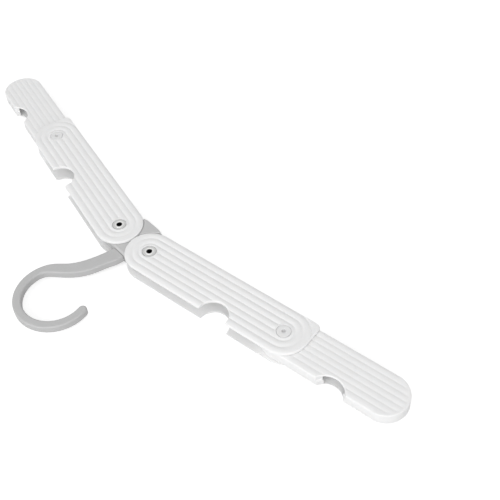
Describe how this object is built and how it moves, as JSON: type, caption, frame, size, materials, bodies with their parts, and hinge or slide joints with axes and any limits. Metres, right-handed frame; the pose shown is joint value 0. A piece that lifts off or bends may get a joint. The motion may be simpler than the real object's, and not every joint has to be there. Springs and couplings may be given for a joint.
{
  "type": "folding travel hanger",
  "caption": "Flat folding clothes hanger: ribbed channel arms fold up on hollow rivets, pivoting tips fold into the arms, and the hook swivels on the hub and lies inside both when folded.",
  "frame": {"origin": "centre of the hook's inner circle, halfway through the thickness", "axes": "+X along the open hanger, +Y towards the top of the hook, +Z out of the front face"},
  "size_m": [0.4202, 0.1393, 0.013],
  "materials": {
    "hook_plastic": "moulded grey plastic, satin",
    "hub_plastic": "moulded grey plastic, satin",
    "arm_plastic": "moulded white plastic, satin",
    "tip_plastic": "moulded white plastic, satin",
    "pin_plastic": "turned white plastic, smooth",
    "rivet_metal": "plated hollow rivet, bright",
    "washer_metal": "plated washer, satin"
  },
  "bodies": {
    "hub": {"hub_front_shell": "hub_plastic", "hub_back_shell": "hub_plastic", "hub_rivet_left": "rivet_metal", "hub_rivet_right": "rivet_metal", "hub_washer_left": "washer_metal", "hub_washer_right": "washer_metal"},
    "hook": {"hook": "hook_plastic"},
    "arm_left": {"arm_left": "arm_plastic", "tip_pin_left": "pin_plastic", "tip_pin_cap_left": "pin_plastic"},
    "tip_left": {"tip_front_shell_left": "tip_plastic", "tip_back_shell_left": "tip_plastic"},
    "arm_right": {"arm_right": "arm_plastic", "tip_pin_right": "pin_plastic", "tip_pin_cap_right": "pin_plastic"},
    "tip_right": {"tip_front_shell_right": "tip_plastic", "tip_back_shell_right": "tip_plastic"}
  },
  "joints": [
    {"name": "hook_swivel", "type": "hinge", "parent": "hub", "child": "hook", "pos_m": [0, -0.0652, 0], "axis": [0, 1, 0], "continuous": true},
    {"name": "arm_fold_left", "type": "hinge", "parent": "hub", "child": "arm_left", "pos_m": [-0.0169, -0.0652, 0], "axis": [0, 0, -1], "range_deg": [0, 100.4]},
    {"name": "tip_fold_left", "type": "hinge", "parent": "arm_left", "child": "tip_left", "pos_m": [-0.12509, -0.08506, 0], "axis": [0, 0, -1], "range_deg": [0, 180]},
    {"name": "arm_fold_right", "type": "hinge", "parent": "hub", "child": "arm_right", "pos_m": [0.0169, -0.0652, 0], "axis": [0, 0, 1], "range_deg": [0, 100.4]},
    {"name": "tip_fold_right", "type": "hinge", "parent": "arm_right", "child": "tip_right", "pos_m": [0.12509, -0.08506, 0], "axis": [0, 0, 1], "range_deg": [0, 180]}
  ]
}
